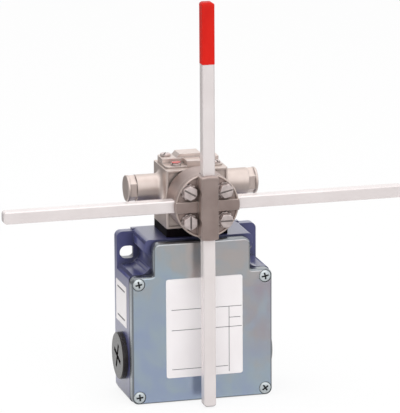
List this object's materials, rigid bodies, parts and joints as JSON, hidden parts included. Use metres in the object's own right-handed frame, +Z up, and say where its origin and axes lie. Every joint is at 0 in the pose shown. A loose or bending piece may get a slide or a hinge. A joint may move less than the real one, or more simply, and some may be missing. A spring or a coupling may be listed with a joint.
{
  "type": "cross lever limit switch",
  "caption": "Limit switch in a die-cast box with a steel lid, turned by crossed square rods clamped in a round hub on a head with side barrels.",
  "frame": {"origin": "midway between the two fixing slots, on the rear mounting face", "axes": "+Z up along the upright rod, -Y to the front where the lever is, +X to the right seen from the front"},
  "size_m": [0.2, 0.0508, 0.2008],
  "materials": {
    "casing_paint": "semi-gloss violet-blue paint on a die casting",
    "lid_steel": "bluish zinc-passivated sheet",
    "head_cast": "satin warm grey die casting",
    "hub_cast": "satin warm grey die casting",
    "rod_steel": "bright plated",
    "screw_steel": "plated",
    "shaft_steel": "ground",
    "spring_steel": "drawn wire",
    "black_plastic": "moulded",
    "contact_plastic": "moulded",
    "pusher_plastic": "moulded",
    "terminal_brass": "plain",
    "seal_rubber": "moulded",
    "red_sleeve": "red sleeve",
    "red_lacquer": "sealing lacquer"
  },
  "bodies": {
    "base": {"casing_floor": "casing_paint", "casing_left_wall": "casing_paint", "casing_right_wall": "casing_paint", "casing_roof": "casing_paint", "back_plate": "casing_paint", "front_cover": "lid_steel", "head_body": "head_cast", "head_cover": "head_cast", "bearing_plate": "head_cast", "left_barrel_plug": "head_cast", "right_barrel_plug": "head_cast", "cover_screws": "screw_steel", "head_cover_screws": "screw_steel", "head_fixing_screws": "screw_steel", "contact_block_screws": "screw_steel", "terminal_screws": "screw_steel", "earth_screw": "screw_steel", "left_detent_spring": "spring_steel", "right_detent_spring": "spring_steel", "left_return_spring": "spring_steel", "right_return_spring": "spring_steel", "left_entry_plug": "black_plastic", "right_entry_plug": "black_plastic", "head_plinth": "black_plastic", "left_contact_block": "contact_plastic", "right_contact_block": "contact_plastic", "terminal_clamps": "terminal_brass", "earth_clamp": "terminal_brass", "shaft_bush": "terminal_brass", "entry_bush": "terminal_brass", "cover_gasket": "seal_rubber", "shaft_seal": "seal_rubber", "seal_lacquer": "red_lacquer"},
    "lever": {"lever_shaft": "shaft_steel", "retaining_ring": "shaft_steel", "front_cam": "shaft_steel", "rear_cam": "shaft_steel", "detent_cam": "shaft_steel", "hub_base": "hub_cast", "hub_screw": "screw_steel", "clamp_plate": "hub_cast", "clamp_screws": "screw_steel", "vertical_rod": "rod_steel", "horizontal_rod": "rod_steel", "red_tip": "red_sleeve"},
    "left_push": {"left_pusher": "pusher_plastic", "left_contact_pin": "pusher_plastic"},
    "left_detent": {"left_detent_plunger": "shaft_steel"},
    "right_push": {"right_pusher": "pusher_plastic", "right_contact_pin": "pusher_plastic"},
    "right_detent": {"right_detent_plunger": "shaft_steel"}
  },
  "joints": [
    {"name": "lever_turn", "type": "hinge", "parent": "base", "child": "lever", "pos_m": [0, -0.0343, 0.0304], "axis": [0, 1, 0], "range_deg": [-90, 90]},
    {"name": "left_push", "type": "slide", "parent": "base", "child": "left_push", "axis": [0, 0, -1], "range_m": [-0.0018, 0.0018], "deforming": ["left_return_spring"]},
    {"name": "right_push", "type": "slide", "parent": "base", "child": "right_push", "axis": [0, 0, -1], "range_m": [-0.0018, 0.0018], "deforming": ["right_return_spring"]},
    {"name": "left_detent", "type": "slide", "parent": "base", "child": "left_detent", "axis": [-1, 0, 0], "range_m": [0, 0.0017], "stiffness_N_per_m": 600, "springref_m": -0.003, "deforming": ["left_detent_spring"]},
    {"name": "right_detent", "type": "slide", "parent": "base", "child": "right_detent", "axis": [1, 0, 0], "range_m": [0, 0.0017], "stiffness_N_per_m": 600, "springref_m": -0.003, "deforming": ["right_detent_spring"]}
  ],
  "couplings": [
    {"joint": "left_push", "follows": "lever_turn", "m_per_rad": 0.0011459},
    {"joint": "right_push", "follows": "lever_turn", "m_per_rad": -0.0011459}
  ]
}
